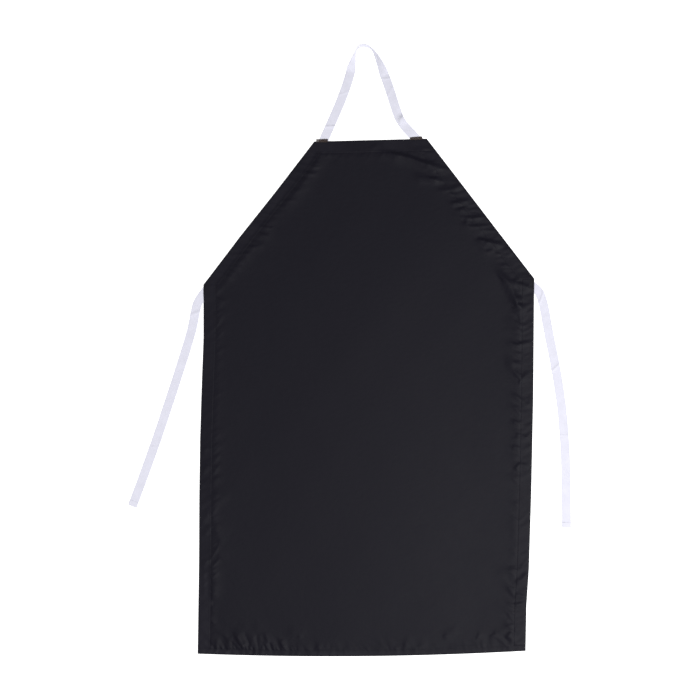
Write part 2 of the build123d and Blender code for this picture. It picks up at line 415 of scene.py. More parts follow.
def sewing_thread(name, dark, light, gloss, shine):
    """Two-ply thread, with the twist of its plies, whose grooves are painted darker as painted shade."""
    twist_pitch = 0.0005
    made = Finish(name, roughness=gloss, specular=shine)
    place = made.place("Object")
    x, y, z = made.axes(place)
    plies = ((x + y * 0.8 + z) * (2 * math.pi / twist_pitch)).sin()
    fluff = made.noise(place, 2500, 2.0)
    # Painted shade: the colour darkens where the twist and the fluff lie low, as the bump does.
    tone = (0.5 + plies * 0.3 + (fluff - 0.5) * 0.6).clamp(0, 1)
    color = made.blend(tone, dark, light)
    return made.done(color, None, made.bump(plies + fluff, 0.00005, 0.5))


panel_finish = black_cloth("black_cloth")
tape_finish = white_tape("white_twill_tape")
# Each thread's first colour is the painted shade in the grooves of its twist, the second its lit plies.
black_thread_finish = sewing_thread("black_thread", (0.006, 0.0055, 0.008), (0.012, 0.011, 0.014), 0.55, 0.12)
tack_thread_finish = sewing_thread("tack_thread", (0.030, 0.021, 0.018), (0.085, 0.062, 0.055), 0.6, 0.2)
white_thread_finish = sewing_thread("white_thread", (0.62, 0.61, 0.66), (0.9, 0.89, 0.93), 0.6, 0.4)


# ------------ the free tapes
def route_line(points):
    """The smooth line that a tape follows, as points close together, from its route's control points."""
    curve = bpy.data.curves.new("route", "CURVE")
    curve.dimensions = "3D"
    curve.resolution_u = 24
    spline = curve.splines.new("NURBS")
    spline.points.add(len(points) - 1)
    for point, (x, y) in zip(spline.points, points):
        point.co = (*laid(x, y), tape_middle, 1)
    spline.order_u = 3
    spline.use_endpoint_u = True
    holder = bpy.data.objects.new("route", curve)
    line = bpy.data.meshes.new_from_object(holder)
    found = np.array([vertex.co for vertex in line.vertices])
    bpy.data.objects.remove(holder)
    bpy.data.curves.remove(curve)
    bpy.data.meshes.remove(line)
    return found


def stations_along(line, step):
    """Evenly spaced places along a line, with the way it runs and how far along each one is."""
    runs = np.linalg.norm(np.diff(line, axis=0), axis=1)
    along = np.concatenate([[0], np.cumsum(runs)])
    far = np.linspace(0, along[-1], int(along[-1] / step) + 1)
    place = np.stack([np.interp(far, along, line[:, k]) for k in range(3)], axis=1)
    heading = np.gradient(place, far, axis=0)
    heading[:, 2] = 0
    heading /= np.linalg.norm(heading, axis=1)[:, None]
    return place, heading, far


def crease_lift(far, across, creases):
    """Height of pressed creases over a tape. Each is (distance along, slope, height, width)."""
    lift = np.zeros_like(far)
    for at, slope, height, width in creases:
        off = far - at - slope * across
        lift += height * bell(off, width)
    return lift


def up_to_middle(tilt):
    """How far the middle of a tape rises when it stands on its edge."""
    rise = np.zeros((len(tilt), 3))
    rise[:, 2] = np.sin(tilt) * tape_width / 2
    return rise


tape_step, tape_columns = 1.6 * MM, 10
tape_waves = ((0.11, 1.0), (0.047, 0.45), (0.021, 0.2))  # (length of the wave, share of its height)
flat_near_seam = 0.025


def make_tape(name, line, lean=None, creases=(), wave=0.0, seed=0, turned=0.0):
    """A length of tape along a line. lean says how far it stands up on its inner edge, in radians."""
    place, heading, far = stations_along(line, tape_step)
    inwards = np.stack([heading[:, 1], -heading[:, 0], np.zeros(len(far))], axis=1)
    ends_at = len(far)
    tilt = np.zeros(len(far)) if lean is None else lean(far / far[-1])
    up = np.zeros(len(far))
    if turned:
        # The far end is folded back over itself, round a tight bend.
        back = np.arange(1, int(turned / tape_step) + 1) * tape_step
        bend = tape_thick * 1.1
        over = np.clip(back / bend, 0, 1) * bend
        ends = [place[-1] - heading[-1] * max(b - bend * 0.4, 0) for b in back]
        place = np.concatenate([place, np.array(ends)])
        inwards = np.concatenate([inwards, np.repeat(inwards[-1:], len(back), axis=0)])
        tilt = np.concatenate([tilt, np.zeros(len(back))])
        up = np.concatenate([up, over])
        far = np.concatenate([far, far[-1] + back])
    piece = grid(name, tape_columns, len(far) - 1)
    abreast = tape_columns + 1
    share = np.linspace(-0.5, 0.5, abreast)
    across = np.tile(share * tape_width, len(far))
    far_all = np.repeat(far, abreast)
    rng = np.random.default_rng(seed)
    lift = crease_lift(far_all, across, creases)
    sewn_to = far[-1] if not turned else math.inf
    held = smooth(0, flat_near_seam, far_all) * smooth(0, flat_near_seam, sewn_to - far_all)
    for length, size in tape_waves:
        phase, skew = rng.uniform(0, 2 * math.pi), rng.uniform(-1.2, 1.2)
        bent = np.sin(2 * math.pi * (far_all + skew * across) / length + phase)
        lift += wave * size * (0.5 + 0.5 * bent) * held
    lean_all = np.repeat(tilt, abreast)
    flat_part = np.cos(lean_all)[:, None] * np.repeat(inwards, abreast, axis=0)
    upright = np.sin(lean_all)
    middle = np.repeat(place, abreast, axis=0)
    points = middle + across[:, None] * flat_part
    points[:, 2] += (tape_width / 2 - across) * upright
    points[:, 2] += lift * np.cos(lean_all) + np.repeat(up, abreast)
    place_points(piece, points)
    pattern_map(piece, across, far_all)
    thicken(piece, tape_thick * 0.9, offset=0.0, rounded=tape_thick * 0.3)
    centres = place[:ends_at] + up_to_middle(tilt[:ends_at])
    return piece, centres


strap_falls_to = strap_lift[3] + 0.02
soft_start = 0.18
pinch_at = 0.872


def strap_lean(share):
    """How far the strap stands on edge at each share of its length. Its seen width falls off evenly."""
    rising = (share - strap_lift[0]) / (strap_lift[1] - strap_lift[0])
    falling = (strap_falls_to - share) / (strap_falls_to - strap_lift[2])
    upright = np.clip(np.minimum(rising, falling), 0, 1)
    lean = np.arccos(1 - 1.17 * upright**2 / (upright + soft_start))
    # It leans outwards a little right at the top of the bend, and lifts where it is pinched near the right end.
    top = (strap_lift[1] + strap_lift[2]) / 2
    back = bell(share - top, 0.028)
    pinch = bell(share - pinch_at, 0.02)
    # The right leg lies a little higher on its outer side.
    canted = smooth(0.64, 0.70, share) * smooth(0.85, 0.80, share)
    return lean - math.radians(10) * back + math.radians(22) * pinch + math.radians(6) * canted


strap_line = route_line([(x, top_y + y) for x, y in strap_route])
strap_creases = [
    (0.041, 0.5, 2.2 * MM, 2.4 * MM),
    (0.116, 0.9, 0.6 * MM, 3.0 * MM),
    (0.312, -0.3, 1.1 * MM, 2.2 * MM),
    (0.340, 0.8, 0.6 * MM, 3.0 * MM),
    (0.404, 0.9, 1.4 * MM, 3.0 * MM),
]
strap_tape, strap_path = make_tape("strap_tape", strap_line, strap_lean, strap_creases, wave=0.7 * MM, seed=3)
finish(strap_tape, tape_finish, "twill_tape", "neck_strap")

tie_creases = {
    "left": [(0.055, 0.7, 1.4 * MM, 4.0 * MM), (0.205, -0.5, 0.8 * MM, 2.4 * MM), (0.345, 0.3, 0.9 * MM, 2.4 * MM)],
    "right": [
        (0.040, 1.2, 1.4 * MM, 3.0 * MM),
        (0.188, 0.6, 1.3 * MM, 2.4 * MM),
        (0.330, -0.1, 1.0 * MM, 1.6 * MM),
        (0.402, -1.1, 1.4 * MM, 1.8 * MM),
        (0.414, -1.1, 1.0 * MM, 1.5 * MM),
    ],
}
tie_tapes, tie_paths = {}, {}
for side, sign in sides:
    tie_line = route_line([(sign * root_x + x, root_y + y) for x, y in tie_routes[side]])
    tie_tapes[side], tie_paths[side] = make_tape(
        f"tie_tape_{side}", tie_line, None, tie_creases[side], wave=0.6 * MM, seed=11 + sign, turned=tie_turn
    )
    finish(tie_tapes[side], tape_finish, "twill_tape", f"tie_{side}")


# ------------ the panel's shape
class Edge:
    """One straight edge of the flat pattern, walked with the cloth on its left."""

    def __init__(self, name, start, end, hem):
        self.name = name
        self.start = np.array(start)
        self.run = np.array(end) - self.start
        self.length = float(np.linalg.norm(self.run))
        self.way = self.run / self.length
        self.inwards = np.array([-self.way[1], self.way[0]])
        self.hem = hem

    def along(self, x, y):
        return (x - self.start[0]) * self.way[0] + (y - self.start[1]) * self.way[1]

    def depth(self, x, y):
        return (x - self.start[0]) * self.inwards[0] + (y - self.start[1]) * self.inwards[1]

    def place(self, along, depth):
        """The plan place that lies so far along the edge and so deep inside it."""
        along, depth = np.asarray(along, float), np.asarray(depth, float)
        return tuple(self.start[k] + along * self.way[k] + depth * self.inwards[k] for k in (0, 1))


edges = {
    edge.name: edge
    for edge in (
        Edge("bottom", (-half_skirt, bottom_y), (half_skirt, bottom_y), bottom_hem_width),
        Edge("side_right", (half_skirt, bottom_y), (half_skirt, waist_y), hem_width),
        Edge("bib_right", (half_skirt, waist_y), (half_top, top_y), hem_width),
        Edge("top", (half_top, top_y), (-half_top, top_y), hem_width),
        Edge("bib_left", (-half_top, top_y), (-half_skirt, waist_y), hem_width),
        Edge("side_left", (-half_skirt, waist_y), (-half_skirt, bottom_y), hem_width),
    )
}

# How hard each edge is gathered by its seam: everywhere, and in stretches (middle, half length, strength) along it;
# then how the small folds slant inside the seam and on the hem, and which flank is the steep one.
gathers = {
    "bottom": (0.38, [(0.085, 0.09, 1.0), (0.20, 0.07, 0.4), (0.42, 0.05, 0.2), (0.65, 0.05, 0.5)], -0.3, 0.1, -1),
    "side_right": (0.52, [(0.06, 0.09, 0.5), (0.155, 0.03, 0.4), (0.50, 0.16, 0.4), (0.735, 0.07, 0.5)], 0.6, -0.4, 1),
    "bib_right": (0.55, [(0.09, 0.07, 0.3), (0.20, 0.05, 0.4), (0.31, 0.05, 0.3)], 0.5, 0.5, 1),
    "top": (0.25, [(0.035, 0.04, 0.3), (0.19, 0.03, 0.3)], 0.2, -0.2, 1),
    "bib_left": (0.50, [(0.06, 0.05, 0.4), (0.22, 0.08, 0.4)], -0.3, -0.4, 1),
    "side_left": (0.34, [(0.05, 0.08, 0.4), (0.45, 0.13, 0.5), (0.60, 0.05, 0.5)], -0.5, -0.6, -1),
}


pucker_limit = 2.4 * MM
seam_grip = 0.012  # how far from the seam its stitches still hold a small fold


def seam_puckers(x, y):
    """The small folds that run in from each seam, because the thread draws the cloth together."""
    rng = np.random.default_rng(20)
    lift = np.zeros_like(x)
    for name, (everywhere, stretches, slant_in, slant_out, steep) in gathers.items():
        edge = edges[name]
        seam = edge.hem - seam_inset
        s, d = edge.along(x, y), edge.depth(x, y)
        near = (d < seam + 0.07) & (s > -0.05) & (s < edge.length + 0.05)
        s_near, deep = s[near], d[near] - seam
        total = np.zeros_like(s_near)
        at = rng.uniform(0, 0.008)
        while at < edge.length:
            strength = everywhere
            for middle, half, extra in stretches:
                strength += extra * math.exp(-(((at - middle) / half) ** 2))
            height = strength * rng.uniform(0.2, 1.0) * 1.5 * MM
            fine = min(strength, 1.2)
            width = rng.uniform(2.2, 4.2) * (1 - 0.30 * fine) * MM
            inside = rng.normal(slant_in, 0.35)
            on_hem = rng.normal(slant_out, 0.3)
            reach = rng.uniform(6, 22) * MM * (0.6 + strength)
            bend = rng.normal(0, 8)
            run = inside * np.clip(deep, 0, None) + on_hem * np.clip(deep, None, 0)
            off = s_near - at - run - bend * deep * np.abs(deep)
            flank = 1 + 0.8 * smooth(1, -1, steep * off / (1.5 * MM))
            spread = width * flank * (1 + np.clip(deep, 0, None) / reach)
            on_seam = 0.5 + 0.5 * rng.uniform(0, 1) * bell(deep, seam_grip)
            inwards_fade = bell(deep, reach) * (on_seam + 0.5 * smooth(0, 0.006, deep))
            total += height * bell(off, spread) * np.where(deep > 0, inwards_fade, on_seam)
            at += rng.uniform(5.0, 12.0) * (1 - 0.42 * fine) * MM
        # Folds that meet don't pile up: the sum levels off.
        ends = smooth(-0.02, 0.02, s_near) * smooth(edge.length + 0.02, edge.length - 0.02, s_near)
        lift[near] += pucker_limit * np.tanh(total / pucker_limit) * ends * smooth(0, 2.0 * MM, deep + seam)
    return lift


# Single creases that stand out, each as (places in mm, height in mm, width of its steep flank in mm).
creases = [
    ([(20, 506), (41, 505), (82, 494), (110, 483), (159, 469)], 3.4, 4.4),
    ([(91, 455), (118, 451), (143, 449)], 2.4, 3.8),
    ([(0, 517), (17, 523)], 0.7, 3.0),
    ([(170, 428), (189, 440)], 1.5, 2.8),
    ([(163, 397), (185, 403), (206, 404)], 1.6, 3.0),
    ([(182, 386), (202, 390)], 0.9, 2.8),
    ([(211, 369), (231, 371)], 1.6, 2.8),
    ([(203, 372), (197, 355), (207, 351), (232, 352), (248, 352)], 1.5, 3.0),
    ([(220, 317), (228, 323), (245, 319), (276, 312)], 3.0, 3.8),
    ([(231, 307), (241, 298), (260, 304)], 1.2, 2.8),
    ([(282, 306), (299, 293)], 1.5, 3.2),
    ([(265, 259), (284, 236), (307, 190), (317, 182), (330, 181)], 4.6, 4.2),
    ([(296, 236), (317, 229), (337, 222)], 1.8, 3.2),
    ([(313, 175), (316, 149), (330, 144)], 0.8, 2.8),
    ([(285, 159), (314, 132)], 1.0, 3.2),
    ([(288, 112), (308, 105), (337, 113)], 1.6, 3.0),
    ([(286, 87), (299, 54), (318, 35), (334, 49)], 2.2, 3.8),
    ([(297, 9), (318, -8), (331, -19), (339, -8)], 1.5, 3.2),
    ([(300, -51), (321, -56)], 1.2, 2.8),
    ([(307, -78), (338, -87)], 1.4, 2.8),
    ([(301, -103), (318, -107)], 1.0, 2.8),
    ([(306, -153), (318, -140), (339, -147)], 1.3, 3.0),
    ([(315, -388), (329, -382), (341, -368)], 2.0, 3.4),
    ([(316, -413), (339, -418)], 1.7, 3.0),
    ([(316, -434), (339, -435)], 1.7, 3.0),
    ([(317, -487), (338, -486)], 1.1, 2.8),
    ([(301, -505), (313, -491)], 1.1, 2.8),
    ([(267, -503), (282, -491)], 0.9, 2.8),
    ([(240, -506), (246, -490)], 0.8, 2.8),
    ([(168, -499), (199, -477)], 1.1, 4.0),
    ([(183, -520), (257, -519)], 0.8, 3.0),
    ([(-320, -348), (-314, -378), (-313, -418)], 1.1, 5.5),
    ([(-333, -335), (-332, -416)], 0.7, 2.4),
    ([(-338, -425), (-313, -424)], 1.2, 2.8),
    ([(-323, -456), (-308, -470)], 0.8, 3.0),
    ([(-266, -486), (-255, -508), (-245, -519)], 2.6, 3.6),
    ([(-220, -464), (-220, -485)], 0.7, 3.6),
    ([(-203, -486), (-195, -509)], 1.2, 3.0),
    ([(-172, -500), (-163, -517)], 1.0, 3.0),
    ([(-151, -473), (-134, -486), (-126, -496)], 0.9, 5.0),
    ([(-341, -150), (-325, -133)], 1.4, 3.0),
    ([(-339, -108), (-329, -95)], 1.0, 2.8),
    ([(-341, -257), (-323, -233)], 1.6, 3.2),
    ([(-336, -282), (-319, -261)], 1.3, 3.0),
    ([(-309, -261), (-298, -303)], 0.5, 5.0),
    ([(-336, -340), (-325, -334)], 1.2, 2.8),
    ([(-97, 508), (-137, 447), (-182, 389)], 1.3, 6.5),
    ([(-236, 361), (-192, 354)], 1.3, 3.2),
    ([(-229, 344), (-200, 340)], 1.0, 3.0),
    ([(-247, 318), (-218, 320)], 1.2, 3.2),
    ([(-245, 312), (-282, 271), (-302, 240)], 0.9, 5.0),
]
# The side of a crease that falls away towards here is the steep one.
steep_way = np.array([-0.74, 0.67])


def single_creases(x, y):
    """Height of the creases that stand out: each is steep on one flank and runs out slowly on the other."""
    lift = np.zeros_like(x)
    for places, height, steep in creases:
        line = np.array(places) * MM
        low, high = line.min(axis=0) - 0.03, line.max(axis=0) + 0.03
        near = (x > low[0]) & (x < high[0]) & (y > low[1]) & (y < high[1])
        x_near, y_near = x[near], y[near]
        length = np.linalg.norm(np.diff(line, axis=0), axis=1)
        total, walked = length.sum(), 0.0
        nearest = np.full(len(x_near), 1.0)
        side, share = np.zeros(len(x_near)), np.zeros(len(x_near))
        for start, end, run in zip(line, line[1:], length):
            way = (end - start) / run
            across = np.array([-way[1], way[0]])
            if across @ steep_way < 0:
                across = -across
            along = (x_near - start[0]) * way[0] + (y_near - start[1]) * way[1]
            off = (x_near - start[0]) * across[0] + (y_near - start[1]) * across[1]
            beyond = along - np.clip(along, 0, run)
            far = np.hypot(off, beyond)
            closer = far < nearest
            nearest = np.where(closer, far, nearest)
            side = np.where(closer, off / (1.5 * MM), side)
            share = np.where(closer, (walked + np.clip(along, 0, run)) / total, share)
            walked += run
        spread = steep * MM * (1 + 1.4 * smooth(1, -1, side))
        fade = smooth(0, 0.3, share + 0.06) * smooth(1, 0.75, share - 0.04)
        lift[near] += height * MM * bell(nearest, spread) * fade
    return lift


def soft_waves(x, y):
    """The slow rise and fall of cloth that isn't quite flat, calmer towards the middle."""
    rng = np.random.default_rng(5)
    lift = np.zeros_like(x)
    for length in (0.42, 0.31, 0.23, 0.17, 0.13, 0.10):
        for _ in range(2):
            turn, phase = rng.uniform(0, 2 * math.pi, 2)
            lift += length * np.sin(2 * math.pi * (x * math.cos(turn) + y * math.sin(turn)) / length + phase)
    return 0.9 * MM * (1 + lift / 2.2)


def edge_depths(x, y):
    """Depth inside the nearest wide-hemmed edge, and inside the bottom edge."""
    wide = [edge.depth(x, y) for edge in edges.values() if edge.name != "bottom"]
    return np.min(wide, axis=0), edges["bottom"].depth(x, y)


def sewn_tape_lift(x, y):
    """The hem lies higher where a tape passes under it."""
    step_down = 0.006
    lift = np.zeros_like(x)
    for place_x, place_y, wide, high in (
        *((sign * strap_root, top_y - hem_width / 2, tape_width, hem_width) for _, sign in sides),
        *((sign * (half_skirt - hem_width / 2), root_y, hem_width, tape_width) for _, sign in sides),
    ):
        off_x = np.clip(np.abs(x - place_x) - wide / 2, 0, None)
        off_y = np.clip(np.abs(y - place_y) - high / 2, 0, None)
        lift = np.maximum(lift, tape_thick * bell(np.hypot(off_x, off_y), step_down))
    return lift


# How the single cloth leaves its hems: first inside the wide ones, then inside the bottom one.
runs_out_over = (0.110, 0.070)
puff_at, puff_spread = (11 * MM, 8 * MM), (7 * MM, 5 * MM)
puff_height = 0.22 * MM
seam_dip, seam_spread = 0.08 * MM, 1.8 * MM


def face_height(x, y):
    """Height of the cloth's face over a place on the flat pattern."""
    wide, low = edge_depths(x, y)
    inside = (wide - (hem_width - seam_inset), low - (bottom_hem_width - seam_inset))
    # Inside its seam the single cloth comes down slowly, puffed up a little by the pull of the thread.
    hem = np.maximum(*(smooth(far, 0.0, off) for off, far in zip(inside, runs_out_over)))
    puff = sum(bell(off - at, spread) for off, at, spread in zip(inside, puff_at, puff_spread))
    base = flat_z + (hem_top_z - flat_z) * hem + puff_height * puff
    calm = smooth(0, 0.05, np.minimum(wide, low)) * 0.75 + 0.25
    stitched = seam_dip * sum(bell(off, seam_spread) for off in inside)
    folds = seam_puckers(x, y), single_creases(x, y)
    return base + soft_waves(x, y) * calm + folds[0] + folds[1] + sewn_tape_lift(x, y) - stitched


panel_cell = 7 * MM
fine_band = 0.045  # the grid is finer this near to the panel's edges
finer_left_of, finer_band = -0.13, 0.028  # and finer still in this part of the bottom hem


def make_panel():
    """The cloth panel: a grid, finer along its edges, shaped to the pattern, with its edge folded under."""
    width, length = 2 * half_skirt, top_y - bottom_y
    piece = grid("cloth_panel", round(width / panel_cell), round(length / panel_cell), width, length)
    flat = points_of(piece)
    half = half_width(flat[:, 1])
    wide, low = edge_depths(flat[:, 0] / half_skirt * half, flat[:, 1])
    # Rows right beside the waist line are needed where the bib folds over.
    near = (np.minimum(wide, low) < fine_band) | (np.abs(flat[:, 1] - waist_y - 4 * MM) < 0.012)
    pick(piece)
    bpy.ops.object.mode_set(mode="EDIT")
    bpy.ops.mesh.select_all(action="DESELECT")
    bpy.ops.mesh.select_mode(type="VERT")
    bpy.ops.object.mode_set(mode="OBJECT")
    piece.data.vertices.foreach_set("select", near)
    bpy.ops.object.mode_set(mode="EDIT")
    bpy.ops.mesh.select_mode(type="FACE")
    bpy.ops.mesh.subdivide(number_cuts=2)
    # The bottom hem is gathered most, and most finely, at its left end.
    bpy.ops.mesh.select_mode(type="VERT")
    bpy.ops.mesh.select_all(action="DESELECT")
    bpy.ops.object.mode_set(mode="OBJECT")
    flat = points_of(piece)
    piece.data.vertices.foreach_set("select", (flat[:, 0] < finer_left_of) & (flat[:, 1] < bottom_y + finer_band))
    bpy.ops.object.mode_set(mode="EDIT")
    bpy.ops.mesh.select_mode(type="FACE")
    bpy.ops.mesh.subdivide(number_cuts=1)
    bpy.ops.mesh.select_all(action="DESELECT")
    bpy.ops.mesh.select_mode(type="EDGE")
    bpy.ops.mesh.select_non_manifold()
    counts = []
    for _ in range(2):
        bpy.ops.mesh.extrude_edges_move(TRANSFORM_OT_translate={"value": (0, 0, 0)})
        bpy.ops.object.mode_set(mode="OBJECT")
        counts.append(len(piece.data.vertices))
        bpy.ops.object.mode_set(mode="EDIT")
    bpy.ops.object.mode_set(mode="OBJECT")
    flat = points_of(piece)
    ring = np.zeros(len(flat), int)
    first = counts[0] - (counts[1] - counts[0])
    ring[first : counts[0]] = 1
    ring[counts[0] :] = 2
    # The rim: the last grid line just inside the fold, then the fold, then the cloth that turns under.
    inset = np.array([0.8, 0.0, 1.0])[ring] * MM
    drop = np.array([0.0, 0.42, 0.80])[ring] * MM
    share_x, share_y = flat[:, 0] / half_skirt, (flat[:, 1] - bottom_y) / length
    y = bottom_y + inset + share_y * (length - 2 * inset)
    edge_x = half_width(y) - inset * np.where(y > waist_y, across_slant, 1)
    x = share_x * edge_x
    z = face_height(x, y) - drop
    laid_x, laid_y = cloth_laid(x, y)
    place_points(piece, np.stack([laid_x, laid_y, z], axis=1))
    pattern_map(piece, x, y)
    thicken(piece, cloth * 0.9, offset=-1.0)
    return piece


panel = make_panel()
panel_faces = BVHTree.FromObject(panel, bpy.context.evaluated_depsgraph_get())


def face_over(x, y):
    """Height of the finished cloth over plan places on the flat pattern, with the places as they lie."""
    laid_x, laid_y = cloth_laid(np.asarray(x, float), np.asarray(y, float))
    heights = np.empty(len(laid_x))
    for i, plan in enumerate(zip(laid_x, laid_y)):
        hit = panel_faces.ray_cast((*plan, 0.1), (0, 0, -1))[0]
        heights[i] = hit.z if hit else hem_top_z
    return np.stack([laid_x, laid_y, heights], axis=1)


finish(panel, panel_finish, "panel_cloth", "skirt_panel", "bib_panel")


# ------------ turned hems behind the panel
def make_hem(name, corners, node):
    """A turned hem: a strip between four plan corners, outer edge first, close under the panel."""
    outer_start, outer_end, inner_end, inner_start = (np.array(corner, float) for corner in corners)
    rows = max(2, round(float(np.linalg.norm(outer_end - outer_start)) / (3.2 * MM)))
    columns = 8
    piece = grid(name, columns, rows)
    flat = points_of(piece) + 0.5
    u, v = flat[:, 0:1], flat[:, 1:2]
    outer = outer_start * (1 - v) + outer_end * v
    inner = inner_start * (1 - v) + inner_end * v
    plan = outer * (1 - u) + inner * u
    points = face_over(plan[:, 0], plan[:, 1])
    points[:, 2] = np.maximum(points[:, 2] - cloth, hem_cloth + 0.3 * MM)
    place_points(piece, points)
    pattern_map(piece, plan[:, 0], plan[:, 1])
    thicken(piece, hem_cloth, offset=-1.0, rounded=hem_cloth * 0.35)
    pick(piece)
    bpy.ops.object.mode_set(mode="EDIT")
    bpy.ops.mesh.select_all(action="SELECT")
    bpy.ops.mesh.normals_make_consistent(inside=False)
    bpy.ops.object.mode_set(mode="OBJECT")
    return finish(piece, panel_finish, "hem_cloth", node)


rim = 0.9 * MM  # the hems stay this far inside the panel's outline


def hem_corners(name, edge):
    """Plan corners of one hem, outer edge first. Side and slanted hems end level, where their neighbours start."""
    if name in ("top", "bottom"):
        inner = -slant * hem_width + rim if name == "top" else rim
        outer_ends, inner_ends = (rim, edge.length - rim), (inner, edge.length - inner)
    else:
        levels = (waist_y, top_y - hem_width) if name.startswith("bib") else (bottom_y + bottom_hem_width, waist_y)
        alongs = [(y - edge.start[1]) / edge.way[1] for y in (levels[::-1] if edge.way[1] < 0 else levels)]
        skew = edge.inwards[1] / edge.way[1]
        outer_ends = [along - rim * skew for along in alongs]
        inner_ends = [along - edge.hem * skew for along in alongs]
    outer = [edge.place(along, rim) for along in outer_ends]
    inner = [edge.place(along, edge.hem) for along in inner_ends]
    return outer[0], outer[1], inner[1], inner[0]


hems = {name: make_hem(f"turned_hem_{name}", hem_corners(name, edge), f"hem_{name}") for name, edge in edges.items()}


# ------------ stitches
def stitch_shape(sides_round=6):
    """One stitch, 1 long and 1 thick about the origin along X, made once: a short rod with rounded ends."""
    bpy.ops.object.select_all(action="DESELECT")
    bpy.ops.mesh.primitive_cylinder_add(vertices=sides_round, radius=0.5, depth=1, rotation=(0, math.pi / 2, 0))
    piece = bpy.context.object
    bpy.ops.object.transform_apply(location=False, rotation=True, scale=False)
    bpy.ops.object.mode_set(mode="EDIT")
    bpy.ops.mesh.select_all(action="DESELECT")
    bpy.ops.mesh.select_mode(type="FACE")
    bpy.ops.object.mode_set(mode="OBJECT")
    for face in piece.data.polygons:
        face.select = abs(face.normal.x) > 0.9
    bpy.ops.object.mode_set(mode="EDIT")
    bpy.ops.mesh.inset(thickness=0.2, depth=0.0, use_individual=True)
    bpy.ops.object.mode_set(mode="OBJECT")
    points = points_of(piece)
    radius = np.hypot(points[:, 1], points[:, 2])
    outer = radius > 0.4
    points[outer, 0] *= 0.72
    place_points(piece, points)
    faces = [tuple(face.vertices) for face in piece.data.polygons]
    bpy.data.objects.remove(piece)
    return points, faces


stitch_points, stitch_faces = stitch_shape()


def make_stitches(name, starts, ends, thick, material, slot, node=None):
    """A row of stitches, one from each start to each end."""
    starts, ends = np.asarray(starts, float), np.asarray(ends, float)
    run = ends - starts
    length = np.linalg.norm(run, axis=1)
    way = run / length[:, None]
    side = np.stack([-way[:, 1], way[:, 0], np.zeros(len(way))], axis=1)
    side /= np.linalg.norm(side, axis=1)[:, None]
    up = np.cross(way, side)
    thick = np.broadcast_to(np.asarray(thick, float), (len(starts),))
    along = stitch_points[:, 0][None, :, None] * (length[:, None, None] * way[:, None, :])
    wide = stitch_points[:, 1][None, :, None] * (thick[:, None, None] * side[:, None, :])
    high = stitch_points[:, 2][None, :, None] * (thick[:, None, None] * up[:, None, :])
    points = ((starts + ends) / 2)[:, None, :] + along + wide + high
    count = len(stitch_points)
    faces = [tuple(i * count + v for v in face) for i in range(len(starts)) for face in stitch_faces]
    mesh = bpy.data.meshes.new(name)
    mesh.from_pydata(points.reshape(-1, 3).tolist(), [], faces)
    mesh.validate()
    piece = bpy.data.objects.new(name, mesh)
    bpy.context.scene.collection.objects.link(piece)
    pick(piece)
    bpy.ops.object.shade_smooth()
    nodes = (node,) if node else ()
    return finish(piece, material, slot, *nodes)


stitch_pitch, stitch_thick = 3.0 * MM, 0.34 * MM
stitch_proud = 0.04 * MM
lowest_stitch = 0.25 * MM


def seam_ends(name, edge, depth):
    """Where along its edge a seam at this depth starts and ends."""
    if name == "top":
        return -slant * depth + 1 * MM, edge.length + slant * depth - 1 * MM
    if name == "bottom":
        return 1 * MM, edge.length - 1 * MM
    if name == "side_left":
        return 0, edge.length - (bottom_hem_width - seam_inset)
    if name == "side_right":
        return bottom_hem_width - seam_inset, edge.length
    bend = depth * (edge.inwards[1] / edge.way[1])
    level = (top_y - (hem_width - seam_inset) - edge.start[1]) / edge.way[1] - bend
    waist = (waist_y - edge.start[1]) / edge.way[1] - bend
    return sorted((level, waist))


seams = {}
for name, edge in edges.items():
    depth = edge.hem - seam_inset
    start, end = seam_ends(name, edge, depth)
    count = int((end - start) / stitch_pitch)
    at = start + (np.arange(count) + 0.5) * (end - start) / count
    rng = np.random.default_rng(len(name) * 7 + count)
    drift = np.cumsum(rng.normal(0, 0.05 * MM, count))
    drift -= np.linspace(0, drift[-1], count)
    half = stitch_pitch * 0.42
    first = face_over(*edge.place(at - half, depth + drift))
    last = face_over(*edge.place(at + half, depth + drift))
    first[:, 2] += stitch_proud
    last[:, 2] += stitch_proud
    # The back of the seam shows the same row, half a stitch on.
    shift = stitch_pitch / 2
    back_first = face_over(*edge.place(at[:-1] - half + shift, depth + drift[:-1]))
    back_last = face_over(*edge.place(at[:-1] + half + shift, depth + drift[:-1]))
    behind = cloth + hem_cloth + 0.05 * MM
    for back in (back_first, back_last):
        back[:, 2] = np.maximum(back[:, 2] - behind, lowest_stitch)
    seams[name] = make_stitches(
        f"stitching_{name}",
        np.concatenate([first, back_first]),
        np.concatenate([last, back_last]),
        stitch_thick,
        black_thread_finish,
        "black_thread",
        f"seam_{name}",
    )

# ------------ sewn ends of the tapes, and their tacks
tack_reach = {"left": (-0.0155, 0.0085), "right": (-0.0150, 0.0100)}  # each side of the strap's middle
tack_pitch, tack_thick = 0.56 * MM, 0.46 * MM
tack_low, tack_high = 2.0 * MM, 5.2 * MM  # below and above the cloth's top edge

